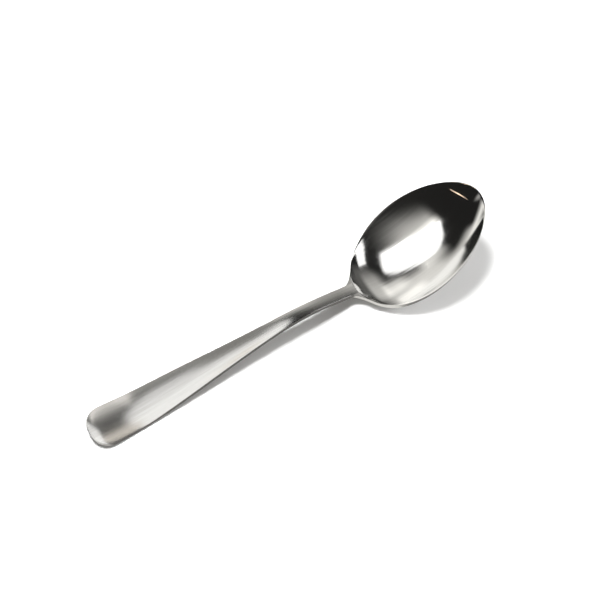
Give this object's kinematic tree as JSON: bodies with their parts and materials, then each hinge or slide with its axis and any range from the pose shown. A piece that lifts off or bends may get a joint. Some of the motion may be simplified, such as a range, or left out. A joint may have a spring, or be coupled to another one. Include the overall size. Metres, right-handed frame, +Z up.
{
  "type": "soup spoon",
  "caption": "Soup spoon in one piece of stainless steel, with an egg-shaped bowl, a slim bent neck and a tapering handle with a rounded end.",
  "frame": {"origin": "on the table, below the middle of the spoon's length", "axes": "+X along the spoon from the end of the handle to the tip of the bowl, +Y across it, +Z up from the table"},
  "size_m": [0.2, 0.049, 0.0282],
  "materials": {
    "stainless_steel": "polished in the bowl, satin brushed along the handle"
  },
  "bodies": {
    "root": {"soup_spoon": "stainless_steel"}
  },
  "joints": []
}
